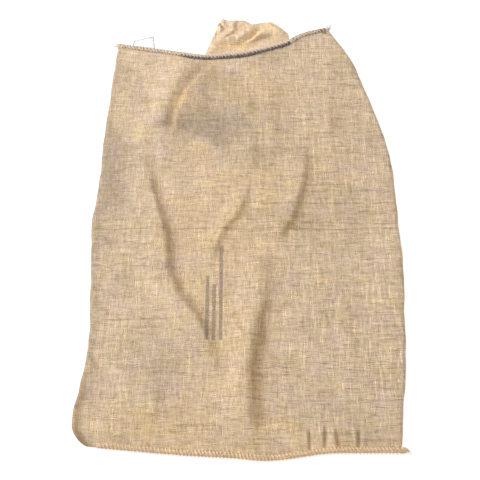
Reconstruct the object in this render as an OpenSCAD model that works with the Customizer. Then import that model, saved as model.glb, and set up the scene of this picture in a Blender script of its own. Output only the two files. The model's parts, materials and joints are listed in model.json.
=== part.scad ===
// An empty jute sack lying flat on its back, mouth towards +Y, bottom seam towards -Y.
// The cloth is a flattened tube: two flat faces joined by rounded side edges. The bottom
// is turned in and whipped shut with yarn, and the mouth edges are rolled and overlocked.
// The mouth end folds over the body, the lip of the back face folds over the mouth, and a
// clear label lifts on the stitches that hold it. All sizes are millimetres.

/* [Sack] */
// Width across the lying sack at its widest
sack_w = 715; // [660:1:780]
// Length from the lowest point of the bottom seam to the left mouth corner
sack_l = 1005; // [900:1:1100]
// Thickness of the jute cloth
cloth_t = 1.5; // [1.2:0.1:1.8]
// Clear height between the two faces of the sack
gap_h = 15; // [13:0.5:16]

/* [Folding] */
// Distance from the bottom seam to the line where the mouth end folds over
fold_from_bottom = 710; // [650:1:740]
// Distance from the left mouth corner to the far edge of the back lip
lip_reach = 75; // [75:1:95]

/* [Bottom seam] */
// Radius of the rolled cloth edge inside the bottom stitches
seam_roll_r = 3.7; // [3:0.1:4]
// Radius of the yarn that whips the bottom seam
seam_yarn_r = 1.1; // [0.8:0.1:1.2]
// Distance between two bottom stitches
seam_pitch = 7.5; // [6:0.5:10]
// Depth of the cloth turned in at the bottom
turn_in = 66; // [50:1:80]

/* [Mouth hem] */
// Radius of the rolled hem
hem_r = 3.2; // [2.8:0.1:3.4]
// Radius of the overlock thread
hem_thread_r = 0.7; // [0.5:0.1:0.8]
// Distance between two overlock loops
hem_pitch = 8.5; // [6:0.5:11]

/* [Side seam] */
// Width of the seam allowance inside the right edge
allowance_w = 14; // [8:1:20]
// Distance between two side seam stitches
side_pitch = 16; // [12:1:24]

/* [Label] */
// Thickness of the clear label film
film_t = 0.6; // [0.4:0.1:1]

/* [Hidden] */

jute = [0.76, 0.63, 0.46];
jute_clean = [0.82, 0.68, 0.49];
jute_yarn = [0.80, 0.65, 0.44];
light_thread = [0.84, 0.81, 0.78];
dark_thread = [0.30, 0.28, 0.30];
clear_film = [0.92, 0.94, 0.96, 0.35];

// The outline of the lying sack. u runs 0 to 1 from left to right, v from bottom to mouth.
// Each list is a few [share, mm] stops that a smooth curve runs through.
left_inset = [[0, 5], [0.07, 0], [0.12, 11], [0.25, 22], [0.5, 10], [0.57, 16], [0.8, 27], [1, 42]];
right_inset = [[0, 35], [0.2, 10], [0.4, 0], [0.64, 8], [0.72, 24], [0.8, 50], [0.9, 82], [1, 145]];
bottom_rise = [[0, 25], [0.3, 10], [0.45, 5], [0.55, 0], [0.8, 15], [1, 15]];
mouth_rise = [[0, 0], [0.1, -10], [0.3, -26], [0.42, -34], [0.56, -28], [0.8, 7], [0.88, 31], [1, 50]];
// The lip, clockwise: distance from the middle, and height as a share of lip_reach
lip_x = [[0, -86], [1, -74], [2, -54], [3, 0], [4, 25], [5, 70], [6, 92], [7, 118]];
lip_y = [[0, 0], [1, 0.4], [2, 1], [3, 1], [4, 0.9], [5, 0.92], [6, 0.72], [7, 0.42]];
corner_r = 50;          // rounding of the plump bottom left corner

y_low = -(sack_l + lip_reach) / 2;
corner_y = y_low + sack_l;
fold_y = y_low + fold_from_bottom;
fold_gap = 0.5;         // slit between the lower and the upper cloth
sack_h = gap_h + 2 * cloth_t;
side_r = sack_h / 2;
thread_gap = 0.2;       // room between a roll and the thread round it
seam_lean = 20;         // how far the threads lean along their roll, in degrees
hem_lean = 25;
// A leaning ring clears its roll only with a larger radius than an upright one
function leaning_ring_r(roll_r, thread_r, lean) = (roll_r + thread_gap) / cos(lean) + thread_r;
seam_ring_r = leaning_ring_r(seam_roll_r, seam_yarn_r, seam_lean);
seam_ring_out = seam_ring_r + seam_yarn_r;
hem_ring_r = leaning_ring_r(hem_r, hem_thread_r, hem_lean);
hem_ring_out = hem_ring_r + hem_thread_r;
hem_inset = 2 * hem_ring_out + 0.5;  // where the cloth stops, clear of the thread round the hem
hem_u = [0.01, 0.99];   // where the hems stop and the corner tacks begin
face_u = [0.03, 0.97];  // where the faces' mouth edges stop
lip_u = [0.36, 0.86];   // the stretch of the mouth that the lip takes, where the back has no hem
front_hem_z = sack_h - cloth_t / 2;
mouth_end_v = 0.985;    // where the side edges stop
near_r = 4;             // radius of a side edge where it runs into the bottom seam
allowance_gap = 0.3;    // between the side edge and the seam allowance
allowance_end_v = 0.965;
lip_bottom_z = 0.4;
lip_top_z = 7;
lip_rim_r = (lip_top_z - lip_bottom_z) / 2;
lip_gap = 1;            // between the lip and the cloth that it is hinged on
lip_hem_r = 1.4;        // the lip's hem is pressed flatter than the rest, so it is finer
lip_thread_r = 0.3;
lip_ring_r = leaning_ring_r(lip_hem_r, lip_thread_r, hem_lean);
lip_hem_z = lip_bottom_z + lip_ring_r + lip_thread_r;
lip_hem_ends = [[-58, corner_y + 14], [78, corner_y + 42]];
label_hinge = [[-280, corner_y - 3], [-222, corner_y - 12]];
label_z = 2 * hem_ring_out;
label_root = 12;        // how far the label's root reaches in from its hinge line
label_gap = 0.8;
lip_steps = 14;
steps = 14;
toe_steps = 6;
arc_steps = 6;
roll_steps = 48;

function mix(a, b, t) = a + (b - a) * t;
function unit(p) = p / norm(p);
function turn_left(p) = [-p.y, p.x];

// Slope of a curve at stop i: level at a peak or a dip, so that it never swings past a stop
function secant(stops, i) = (stops[i + 1][1] - stops[i][1]) / (stops[i + 1][0] - stops[i][0]);
function slope(stops, i) =
    i == 0 ? secant(stops, 0)
    : i == len(stops) - 1 ? secant(stops, i - 1)
    : let (a = secant(stops, i - 1), b = secant(stops, i)) a * b <= 0 ? 0 : 2 * a * b / (a + b);
// A smooth curve through [position, value] stops
function curve(stops, t) =
    let (i = max([for (k = [0:len(stops) - 2]) t >= stops[k][0] ? k : 0]),
         span = stops[i + 1][0] - stops[i][0],
         s = min(max((t - stops[i][0]) / span, 0), 1))
    stops[i][1] * (2 * pow(s, 3) - 3 * pow(s, 2) + 1)
    + stops[i + 1][1] * (3 * pow(s, 2) - 2 * pow(s, 3))
    + slope(stops, i) * span * (pow(s, 3) - 2 * pow(s, 2) + s)
    + slope(stops, i + 1) * span * (pow(s, 3) - pow(s, 2));

// How far an arc of radius corner_r stands in from the side, rise above its foot
function corner_inset(rise) = rise >= corner_r ? 0 : corner_r - sqrt(rise * (2 * corner_r - rise));
function x_left(v) = -sack_w / 2 + curve(left_inset, v) + corner_inset(v * sack_l);
function x_right(v) = sack_w / 2 - curve(right_inset, v);
function y_bottom(u) = y_low + curve(bottom_rise, u);
function y_mouth(u) = corner_y + curve(mouth_rise, u);
function outline(u, v) = [mix(x_left(v), x_right(v), u), mix(y_bottom(u), y_mouth(u), v)];

// Outward normal of a side edge: u is 0 for the left side and 1 for the right
function side_normal(u, v) =
    let (e = 0.01, along = unit(outline(u, min(v + e, 1)) - outline(u, max(v - e, 0))))
    (u == 0 ? 1 : -1) * turn_left(along);

function toe_v(u) = turn_in / (y_mouth(u) - y_bottom(u));
function near_v(u) = 2 * seam_ring_out / (y_mouth(u) - y_bottom(u));
function fold_v(u, offset) = (fold_y + offset - y_bottom(u)) / (y_mouth(u) - y_bottom(u));
function edge_r(u, v) =
    v >= toe_v(u) ? side_r : mix(near_r, side_r, (v - near_v(u)) / (toe_v(u) - near_v(u)));
// The line that a side edge is rounded about, where the flat faces end
function edge_core(u, v) = outline(u, v) - side_normal(u, v) * edge_r(u, v);
// How far the bottom and mouth outlines bow away from straight lines
function bow(u, v) =
    mix(y_bottom(u) - mix(y_bottom(0), y_bottom(1), u), y_mouth(u) - mix(y_mouth(0), y_mouth(1), u), v);
function face_point(u, v) = mix(edge_core(0, v), edge_core(1, v), u) + [0, bow(u, v)];

function mouth_normal(u) =
    let (e = 0.02) turn_left(unit(outline(min(u + e, 1), 1) - outline(max(u - e, 0), 1)));
function mouth_line(u, inset) = outline(u, 1) - mouth_normal(u) * inset;
function seam_line(u) = outline(u, 0) + [0, seam_ring_out];

function with_z(p, z) = [p.x, p.y, z];

// A closed solid through rings of points. Every ring has the same even number of points, and
// each end is closed by a ladder of triangles between the ring's two halves.
module loft(rings) {
    m = len(rings[0]);
    last = len(rings) - 1;
    sides = [
        for (i = [0:last - 1], j = [0:m - 1])
            let (a = i * m + j, b = i * m + (j + 1) % m)
                each [[a, b, b + m], [a, b + m, a + m]]
    ];
    rungs = [for (j = [0:m / 2 - 2]) each [[j, m - 1 - j, j + 1], [j + 1, m - 1 - j, m - 2 - j]]];
    far_rungs = [for (f = rungs) [f[0] + last * m, f[2] + last * m, f[1] + last * m]];
    polyhedron([for (r = rings) each r], concat(sides, rungs, far_rungs), convexity = 6);
}

// A rounded cloth edge: half a tube whose core runs through the given points. n points outward.
function edge_ring(p, n, r, z) = concat(
    [for (i = [0:arc_steps]) let (a = -90 + 180 * i / arc_steps)
        [p.x + n.x * r * cos(a), p.y + n.y * r * cos(a), z + r * sin(a)]],
    [for (i = [arc_steps:-1:0]) let (a = -90 + 180 * i / arc_steps, q = r - cloth_t)
        [p.x + n.x * q * cos(a), p.y + n.y * q * cos(a), z + q * sin(a)]]
);

// Orders a ring so that the loft's faces point outward on either side of the sack
function wound(ring, u) = u == 0 ? ring : [for (i = [len(ring) - 1:-1:0]) ring[i]];

module side_edge(u, v_list) {
    loft([for (v = v_list)
        wound(edge_ring(edge_core(u, v), side_normal(u, v), edge_r(u, v), edge_r(u, v)), u)]);
}

// Stations along the lower body of a side, close together where the bottom tapers
function lower_stations(u) = concat(
    [for (i = [0:toe_steps]) mix(near_v(u), toe_v(u), i / toe_steps)],
    [for (i = [1:steps]) mix(toe_v(u), fold_v(u, -fold_gap / 2), i / steps)]
);
function upper_stations(u) =
    [for (i = [0:steps]) mix(fold_v(u, fold_gap / 2), mouth_end_v, i / steps)];

module lower_face() {
    polygon(concat(
        [for (i = [0:steps]) face_point(i / steps, toe_v(i / steps))],
        [for (i = [1:steps]) edge_core(1, mix(toe_v(1), fold_v(1, -fold_gap / 2), i / steps))],
        [for (i = [steps:-1:1]) edge_core(0, mix(toe_v(0), fold_v(0, -fold_gap / 2), i / steps))]
    ));
}

// Mouth edge of a face, from u_from to u_to
function mouth_edge(u_from, u_to) =
    [for (i = [0:roll_steps]) mouth_line(mix(u_from, u_to, i / roll_steps), hem_inset)];

module upper_face(edge) {
    polygon(concat(
        [for (v = upper_stations(1)) edge_core(1, v)],
        edge,
        [for (i = [steps:-1:0]) edge_core(0, upper_stations(0)[i])]
    ));
}

// The doubled cloth between the seam roll and a face, rising or falling from z_near to z_far
module turn_in_slab(z_near, z_far, thickness) {
    row_v = function (u, t) mix(near_v(u), toe_v(u), t);
    rings = [for (j = [0:toe_steps]) let (t = j / toe_steps, z = mix(z_near, z_far, t))
        concat(
            [for (i = [0:steps]) with_z(face_point(i / steps, row_v(i / steps, t)), z)],
            [for (i = [steps:-1:0]) with_z(face_point(i / steps, row_v(i / steps, t)), z + thickness)]
        )];
    loft([for (r = rings) wound(r, 1)]);
}

// A round roll of cloth along a path of [x, y] points at height z
module roll(path, r, z) {
    sides = 10;
    last = len(path) - 1;
    rings = [for (i = [0:last])
        let (n = turn_left(unit(path[min(i + 1, last)] - path[max(i - 1, 0)])))
            [for (k = [0:sides - 1]) let (a = 360 * k / sides)
                [path[i].x + n.x * r * cos(a), path[i].y + n.y * r * cos(a), z + r * sin(a)]]];
    loft(rings);
}

// Rings of thread round a roll, leaning along it like whipped stitches.
// path_at gives the [x, y] point for a share t of the path.
module loops(path_at, length, pitch, ring_r, thread_r, z, lean) {
    count = floor(length / pitch);
    for (i = [0:count - 1]) {
        t = (i + 0.5) / count;
        p = path_at(t);
        along = path_at(t + 0.002) - path_at(t - 0.002);
        translate(with_z(p, z))
            rotate([0, 0, atan2(along.y, along.x)])
                rotate([0, 90, lean])
                    rotate_extrude($fn = 32)
                        translate([ring_r, 0])
                            circle(r = thread_r, $fn = 16);
    }
}

// Straight running stitches lying on the cloth at height z
module running_stitches(path_at, length, pitch, thread_r, z) {
    count = floor(length / pitch);
    for (i = [0:count - 1]) {
        t = (i + 0.5) / count;
        p = path_at(t);
        along = path_at(t + 0.002) - path_at(t - 0.002);
        translate(with_z(p, z + thread_r))
            rotate([0, 0, atan2(along.y, along.x)])
                rotate([0, 90, 0])
                    cylinder(r = thread_r, h = pitch * 0.6, center = true, $fn = 16);
    }
}

module back_panel_lower() {
    color(jute) linear_extrude(cloth_t) lower_face();
}

module front_panel_lower() {
    color(jute) translate([0, 0, sack_h - cloth_t]) linear_extrude(cloth_t) lower_face();
}

module left_fold_lower() {
    color(jute) side_edge(0, lower_stations(0));
}

module right_edge_lower() {
    color(jute) side_edge(1, lower_stations(1));
}

module left_fold_upper() {
    color(jute) side_edge(0, upper_stations(0));
}

module right_edge_upper() {
    color(jute) side_edge(1, upper_stations(1));
}

module front_turn_in() {
    z_near = seam_ring_out + seam_roll_r - 2 * cloth_t;
    color(jute) turn_in_slab(z_near, sack_h - cloth_t, cloth_t);
}

module back_turn_in() {
    z_near = seam_ring_out - seam_roll_r;
    color(jute) turn_in_slab(z_near, 0, cloth_t);
}

// The cloth edges left inside by the right side seam, lying on the back face
module allowance(v_from, v_to) {
    height = 2 * cloth_t;
    rings = [for (i = [0:steps])
        let (v = mix(v_from, v_to, i / steps), n = side_normal(1, v),
             p = edge_core(1, v) - n * allowance_gap)
            [with_z(p, cloth_t), with_z(p, cloth_t + height),
             with_z(p - n * allowance_w, cloth_t + height), with_z(p - n * allowance_w, cloth_t)]];
    color(jute) loft(rings);
}

module allowance_stitches(v_from, v_to) {
    path_at = function (t)
        let (v = mix(v_from, v_to, t)) edge_core(1, v) - side_normal(1, v) * allowance_w / 2;
    color(light_thread)
        running_stitches(path_at, norm(path_at(1) - path_at(0)), side_pitch, hem_thread_r, 3 * cloth_t);
}

module right_allowance_lower() {
    allowance(toe_v(1), fold_v(1, -fold_gap / 2));
}

module right_allowance_upper() {
    allowance(fold_v(1, fold_gap / 2), allowance_end_v);
}

module side_stitches_lower() {
    allowance_stitches(toe_v(1), fold_v(1, -fold_gap / 2));
}

module side_stitches_upper() {
    allowance_stitches(fold_v(1, fold_gap / 2), allowance_end_v);
}

module bottom_seam_roll() {
    color(jute) roll([for (i = [0:roll_steps]) seam_line(i / roll_steps)], seam_roll_r, seam_ring_out);
}

module bottom_overhand_stitches() {
    color(jute_yarn)
        loops(function (t) seam_line(t), norm(seam_line(1) - seam_line(0)), seam_pitch,
              seam_ring_r, seam_yarn_r, seam_ring_out, seam_lean);
}

// The yarn-wrapped stub that the seam leaves past the right corner
module bottom_seam_end() {
    stub_l = 13;
    stub_r = 4.5;
    stub_gap = 0.3;
    color(jute_yarn)
        translate(with_z(seam_line(1) + [stub_gap, 0], seam_ring_out)) {
            rotate([0, 90, 0]) cylinder(r = stub_r, h = stub_l, $fn = 32);
            translate([stub_l, 0, 0]) sphere(r = stub_r, $fn = 32);
        }
}

// The back face runs out under the front hem to the lip
module back_panel_upper() {
    root = lip_root(-lip_gap);
    beside_hem = 0.02;
    color(jute) linear_extrude(cloth_t)
        upper_face(concat(mouth_edge(face_u[1], lip_u[1] - beside_hem), [root[1], root[0]],
                          mouth_edge(lip_u[0] + beside_hem, face_u[0])));
}

module front_panel_upper() {
    color(jute) translate([0, 0, sack_h - cloth_t]) linear_extrude(cloth_t)
        upper_face(mouth_edge(face_u[1], face_u[0]));
}

function hem_path(u_from, u_to) =
    [for (i = [0:roll_steps]) mouth_line(mix(u_from, u_to, i / roll_steps), hem_ring_out)];

module front_mouth_hem() {
    color(jute) roll(hem_path(hem_u[0], hem_u[1]), hem_r, front_hem_z);
}

module hem_loops(u_from, u_to, z) {
    path_at = function (t) mouth_line(mix(u_from, u_to, t), hem_ring_out);
    color(light_thread)
        loops(path_at, norm(path_at(1) - path_at(0)), hem_pitch, hem_ring_r, hem_thread_r, z,
              hem_lean);
}

module front_overlock_loops() {
    hem_loops(hem_u[0], hem_u[1], front_hem_z);
}

module front_needle_thread() {
    inset = 2 * hem_ring_out + 3;
    path_at = function (t) mouth_line(mix(0.04, 0.96, t), inset);
    color(dark_thread)
        running_stitches(path_at, norm(path_at(1) - path_at(0)), hem_pitch, hem_thread_r, sack_h);
}

// The back hem runs along the mouth on both sides of the lip
module back_hem_left() {
    color(jute) roll(hem_path(hem_u[0], lip_u[0]), hem_r, hem_ring_out);
}

module back_hem_right() {
    color(jute) roll(hem_path(lip_u[1], hem_u[1]), hem_r, hem_ring_out);
}

module back_overlock_loops() {
    hem_loops(hem_u[0], lip_u[0], hem_ring_out);
    hem_loops(lip_u[1], hem_u[1], hem_ring_out);
}

// Thread tack that joins the ends of the front and back hems, with its cut tail.
// side is -1 at the left mouth corner and 1 at the right one.
module corner_tack(side) {
    tack_r = 2.6;
    tail_r = 1.4;
    tail_l = 9;
    u = side < 0 ? hem_u[0] : hem_u[1];
    along = unit(outline(hem_u[1], 1) - outline(0.9, 1));
    end_dir = side < 0 ? [-1, 0] : along;
    color(light_thread)
        translate(with_z(mouth_line(u, hem_ring_out) + end_dir * tack_r, 0)) {
            translate([0, 0, tack_r]) cylinder(r = tack_r, h = front_hem_z - tack_r, $fn = 24);
            translate([0, 0, tack_r]) sphere(r = tack_r, $fn = 24);
            translate([0, 0, front_hem_z]) sphere(r = tack_r, $fn = 24);
            translate([0, 0, front_hem_z]) rotate([-90, 0, 0]) cylinder(r = tail_r, h = tail_l, $fn = 16);
        }
}

module left_corner_tack() {
    corner_tack(-1);
}

module right_corner_tack() {
    corner_tack(1);
}

// A point on the lip's outline: t runs 0 to 1 clockwise from its left root
function lip_point(t) =
    let (s = t * (len(lip_x) - 1)) [curve(lip_x, s), corner_y + lip_reach * curve(lip_y, s)];
function lip_out(t) = turn_left(unit(lip_point(min(t + 0.02, 1)) - lip_point(max(t - 0.02, 0))));
function lip_root(offset) =
    let (n = turn_left(unit(lip_point(1) - lip_point(0))))
        [lip_point(0) + n * offset, lip_point(1) + n * offset];
// The line that the lip's rim is rounded about
function lip_core(t) = lip_point(t) - lip_out(t) * lip_rim_r;
// Stations along the rim, shared by the panel, the rim and the layer turned under
function rim_t(i) = mix(0.06, 0.94, i / lip_steps);
function lip_cores(i_from, i_to) = [for (i = [i_from:i_to]) lip_core(rim_t(i))];

module lip_panel() {
    color(jute_clean) translate([0, 0, lip_top_z - cloth_t]) linear_extrude(cloth_t)
        polygon(concat([lip_point(0)], lip_cores(0, lip_steps), [lip_point(1)]));
}

module lip_fold() {
    color(jute_clean)
        loft([for (i = [0:lip_steps])
            let (t = rim_t(i)) edge_ring(lip_core(t), lip_out(t), lip_rim_r, lip_bottom_z + lip_rim_r)]);
}

// The lip's cloth turned back underneath, which stops at the lip's own hem
module lip_turn_under() {
    color(jute_clean) translate([0, 0, lip_bottom_z]) linear_extrude(cloth_t)
        polygon(concat(lip_cores(2, lip_steps - 2),
                       [lip_hem_ends[1] + [2, 3], lip_hem_ends[0] + [-2, 2]]));
}

function lip_hem_at(t) = mix(lip_hem_ends[0], lip_hem_ends[1], t);

module lip_hem() {
    color(jute_clean) roll([for (i = [0:4]) lip_hem_at(i / 4)], lip_hem_r, lip_hem_z);
}

module lip_overlock_loops() {
    color(light_thread)
        loops(function (t) lip_hem_at(t), norm(lip_hem_at(1) - lip_hem_at(0)), hem_pitch,
              lip_ring_r, lip_thread_r, lip_hem_z, hem_lean);
}

// Clear film tag: its root lies on the back hem's loops, inside the mouth, and the rest lifts
module label_tab() {
    n = turn_left(unit(label_hinge[1] - label_hinge[0]));
    color(clear_film) translate([0, 0, label_z]) linear_extrude(film_t)
        polygon([label_hinge[0] - n * label_gap, label_hinge[1] - n * label_gap,
                 label_hinge[1] - n * label_root, label_hinge[0] - n * label_root]);
}

module label_film() {
    color(clear_film) translate([0, 0, label_z]) linear_extrude(film_t)
        polygon([label_hinge[0], [-276, corner_y + 9], [-230, corner_y + 19], label_hinge[1]]);
}

back_panel_lower();
front_panel_lower();
left_fold_lower();
right_edge_lower();
right_allowance_lower();
side_stitches_lower();
front_turn_in();
back_turn_in();
bottom_seam_roll();
bottom_overhand_stitches();
bottom_seam_end();
back_panel_upper();
front_panel_upper();
left_fold_upper();
right_edge_upper();
right_allowance_upper();
side_stitches_upper();
front_mouth_hem();
front_overlock_loops();
front_needle_thread();
back_hem_left();
back_hem_right();
back_overlock_loops();
left_corner_tack();
right_corner_tack();
label_tab();
lip_panel();
lip_fold();
lip_turn_under();
lip_hem();
lip_overlock_loops();
label_film();
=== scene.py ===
import json
import math

import bpy
import numpy as np
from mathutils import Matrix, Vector, noise


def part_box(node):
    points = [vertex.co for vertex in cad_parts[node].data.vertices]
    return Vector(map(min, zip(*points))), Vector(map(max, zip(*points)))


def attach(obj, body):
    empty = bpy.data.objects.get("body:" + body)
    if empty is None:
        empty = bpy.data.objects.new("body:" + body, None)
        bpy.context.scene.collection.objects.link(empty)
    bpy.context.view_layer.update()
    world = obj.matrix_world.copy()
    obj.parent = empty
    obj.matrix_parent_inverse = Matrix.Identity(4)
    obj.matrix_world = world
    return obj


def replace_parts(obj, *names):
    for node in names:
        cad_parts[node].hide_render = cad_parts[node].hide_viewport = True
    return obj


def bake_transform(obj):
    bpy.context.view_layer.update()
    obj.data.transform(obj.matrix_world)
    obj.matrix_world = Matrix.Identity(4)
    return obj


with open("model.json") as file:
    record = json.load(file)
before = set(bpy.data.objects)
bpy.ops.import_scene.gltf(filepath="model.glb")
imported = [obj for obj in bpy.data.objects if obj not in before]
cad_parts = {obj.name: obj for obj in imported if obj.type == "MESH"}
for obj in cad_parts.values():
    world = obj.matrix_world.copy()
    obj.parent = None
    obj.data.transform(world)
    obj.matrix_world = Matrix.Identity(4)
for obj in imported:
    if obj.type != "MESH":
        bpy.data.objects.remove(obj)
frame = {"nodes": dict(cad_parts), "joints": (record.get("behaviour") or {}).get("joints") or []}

MM = 0.001
UP = np.array([0, 0, 1.0])
scene = bpy.context.scene
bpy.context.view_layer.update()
joints = {joint["name"]: joint for joint in frame["joints"]}

# ---- sizes

HALF_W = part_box("right_edge_lower")[1].x
SACK_L = 1.005
LIP_REACH = 0.075
Y_LOW = -(SACK_L + LIP_REACH) / 2
CORNER_Y = Y_LOW + SACK_L
CORNER_R = 0.050        # the plump bottom left corner
EDGE_W = 0.011          # how far in the rounded side edges reach
GRID = 0.0027           # spacing of the front cloth's grid
WARP_PITCH = 0.0023
WEFT_PITCH = 0.0021
SEAM_HALF_W = 0.0050    # the bottom seam roll, half across and half high
SEAM_HALF_H = 0.0042
SEAM_PITCH = 0.0075
SEAM_PROUD = 0.0005     # how far the middle of the whipping yarn stands off the roll
SEAM_PLY_R = 0.0011     # one of the yarn's two strands
SEAM_LAY = 0.012        # length of one full turn of the strands
STUB_HALF_W = 0.0048    # the seam's end past the right corner
HEM_HALF_W = 0.0050     # the rolled mouth hem
HEM_HALF_H = 0.0026
HEM_PITCH = 0.0085
HEM_ENDS = (0.01, 0.99) # the share of the mouth where the overlock starts and stops
BACK_HEM_Z = 0.0046     # height of the back hem's middle
ALLOWANCE_W = 0.014     # the cloth edges inside the right side seam
SIDE_Z = 0.005          # height of the side edges' outermost line
LOWEST_Z = 0.0012       # loose ends and the lip's lower layer come no lower

# Outline stops: share along the edge, then how far it stands in or up, in mm
LEFT_INSET = [(0, 5), (0.07, 0), (0.12, 11), (0.25, 22), (0.5, 10), (0.57, 16), (0.8, 27), (1, 42)]
RIGHT_INSET = [(0, 35), (0.2, 10), (0.4, 0), (0.64, 8), (0.72, 24), (0.8, 50), (0.9, 82), (1, 145)]
BOTTOM_RISE = [(0, 25), (0.3, 10), (0.45, 5), (0.55, 0), (0.8, 15), (1, 15)]
MOUTH_RISE = [(0, 0), (0.1, -10), (0.3, -26), (0.42, -34), (0.56, -28), (0.8, 7), (0.88, 31), (1, 50)]
LIP_X = [(0, -86), (1, -74), (2, -54), (3, 0), (4, 25), (5, 70), (6, 92), (7, 118)]
LIP_Y = [(0, 0), (1, 0.4), (2, 1), (3, 1), (4, 0.9), (5, 0.92), (6, 0.72), (7, 0.42)]

# Folds of the front face. Each has a route in mm, which runs towards the mouth, and humps beside
# it: offset to the right of the route, height, and width on the left and right, all in mm
FOLDS = [
    # the long fold on the left, from the stripes up
    ([(-40, -390), (-65, -300), (-105, -230), (-140, -180), (-165, -115), (-170, -60), (-195, 30),
      (-215, 95), (-230, 160), (-235, 230)], [(-12, 7, 50, 12), (14, -2, 9, 25)]),
    # the long fold up the middle
    ([(40, -520), (25, -465), (20, -410), (20, -350), (30, -290), (40, -240), (50, -190), (55, -100),
      (65, -70)], [(-18, 10.5, 42, 21), (18, -2, 10, 32)]),
    # right of the middle, hooking in towards the left
    ([(60, -75), (95, -40), (120, 0), (135, 50), (150, 110), (155, 180), (150, 250)], [(-11, 6.5, 32, 12)]),
    # above the stripes
    ([(-70, -125), (-60, -80), (-40, -35), (-10, 0), (10, 60), (25, 110)], [(-9, 5, 24, 11)]),
    # the valley that starts at the mouth's dip
    ([(-180, 185), (-175, 250), (-160, 305), (-135, 355), (-90, 405), (-50, 450)],
     [(-24, 10, 36, 22), (18, 9, 13, 48)]),
    # faint folds and creases
    ([(-185, -470), (-175, -400), (-170, -355)], [(-10, 3, 25, 9)]),
    ([(345, 145), (245, 165), (165, 180)], [(0, 2, 6, 8)]),
    ([(-170, -260), (-290, -260)], [(0, 1.8, 6, 6)]),
    ([(-300, -355), (-325, -325), (-350, -305)], [(-10, 2, 12, 6), (0, -2.5, 7, 7)]),
    ([(200, 200), (215, 260), (200, 330)], [(0, 2.5, 30, 18)]),
    ([(60, 130), (75, 220), (50, 320)], [(0, 2.5, 30, 16)]),
    ([(220, -330), (230, -240), (215, -150)], [(0, 2.5, 28, 16)]),
]
# Pleats above the bottom seam: where each stands and how far up it reaches, in mm
PLEATS = [(135, 50), (165, 55), (195, 50), (235, 45)]


def mix(a, b, t):
    return a + (b - a) * t


def smoothstep(low, high, t):
    s = np.clip((t - low) / (high - low), 0, 1)
    return s * s * (3 - 2 * s)


def curve(stops, t):
    """A smooth curve through (position, value) stops that never swings past a stop."""
    x, y = np.array(stops, float).T
    t = np.clip(np.asarray(t, float), x[0], x[-1])
    step = np.diff(x)
    rise = np.diff(y) / step
    product, total = rise[:-1] * rise[1:], rise[:-1] + rise[1:]
    inner = np.where(product > 0, 2 * product / np.where(product > 0, total, 1), 0)
    slope = np.concatenate([rise[:1], inner, rise[-1:]])
    i = np.clip(np.searchsorted(x, t, side="right") - 1, 0, len(step) - 1)
    s = (t - x[i]) / step[i]
    return (y[i] * (2 * s**3 - 3 * s**2 + 1) + y[i + 1] * (3 * s**2 - 2 * s**3)
            + slope[i] * step[i] * (s**3 - 2 * s**2 + s) + slope[i + 1] * step[i] * (s**3 - s**2))


# ---- outline of the lying sack

def ripple(v, seed):
    """Small waves along a cloth edge."""
    return (0.9 * np.sin(31 * v + seed) + 0.6 * np.sin(67 * v + 2.3 * seed)
            + 0.35 * np.sin(131 * v + 5.1 * seed)) * MM


def x_left(v):
    rise = np.clip(v * SACK_L, 0, CORNER_R)
    corner = CORNER_R - np.sqrt(rise * (2 * CORNER_R - rise))
    return -HALF_W + curve(LEFT_INSET, v) * MM + corner + ripple(v, 1.0)


def x_right(v):
    return HALF_W - curve(RIGHT_INSET, v) * MM + ripple(v, 2.0)


def y_bottom(u):
    return Y_LOW + curve(BOTTOM_RISE, u) * MM


def y_mouth(u):
    return CORNER_Y + curve(MOUTH_RISE, u) * MM


def noise_at(x, y, size, seed, octaves=2):
    """Smooth noise from -1 to 1 over the plane, with features of about the given size."""
    flat = [noise.fractal(Vector((a / size, b / size, seed)), 1.0, 2.0, octaves)
            for a, b in zip(np.ravel(x), np.ravel(y))]
    return np.array(flat).reshape(np.shape(x))


def smooth_route(points, count=40):
    """Points along a smooth curve through a few given ones."""
    share = np.linspace(0, len(points) - 1, count)
    return np.stack([curve(list(enumerate(c)), share) for c in zip(*points)], 1)


def beside(route, x, y):
    """Signed distance to a route, positive on its right, and the share along it of the nearest point."""
    best = np.full(np.shape(x), 1e9)
    side = np.zeros(np.shape(x))
    share = np.zeros(np.shape(x))
    last = len(route) - 1
    for i in range(last):
        a, d = route[i], route[i + 1] - route[i]
        t = np.clip(((x - a[0]) * d[0] + (y - a[1]) * d[1]) / (d @ d), 0, 1)
        dx, dy = x - a[0] - t * d[0], y - a[1] - t * d[1]
        far = np.hypot(dx, dy)
        nearer = far < best
        best = np.where(nearer, far, best)
        side = np.where(nearer, np.sign(dx * d[1] - dy * d[0]), side)
        share = np.where(nearer, (i + t) / last, share)
    return best * side, share


def along_folds(folds, x, y, fade_in, fade_out):
    """For each fold: its humps, the distance to the right of its route in mm, and how strong it is."""
    for points, humps in folds:
        distance, share = beside(smooth_route(points) * MM, x, y)
        yield humps, distance / MM, smoothstep(0, fade_in, share) * smoothstep(1, fade_out, share)


def hump(distance, offset, left, right):
    """A rounded hump beside a route, from 0 to 1."""
    d = distance - offset
    return np.exp(-(d / np.where(d < 0, left, right)) ** 2)


def fold_height(x, y):
    """Height in metres that the folds add at each point."""
    total = np.zeros(np.shape(x))
    for humps, distance, fade in along_folds(FOLDS, x, y, 0.2, 0.6):
        for offset, height, left, right in humps:
            total += fade * height * MM * hump(distance, offset, left, right)
    return total


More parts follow.
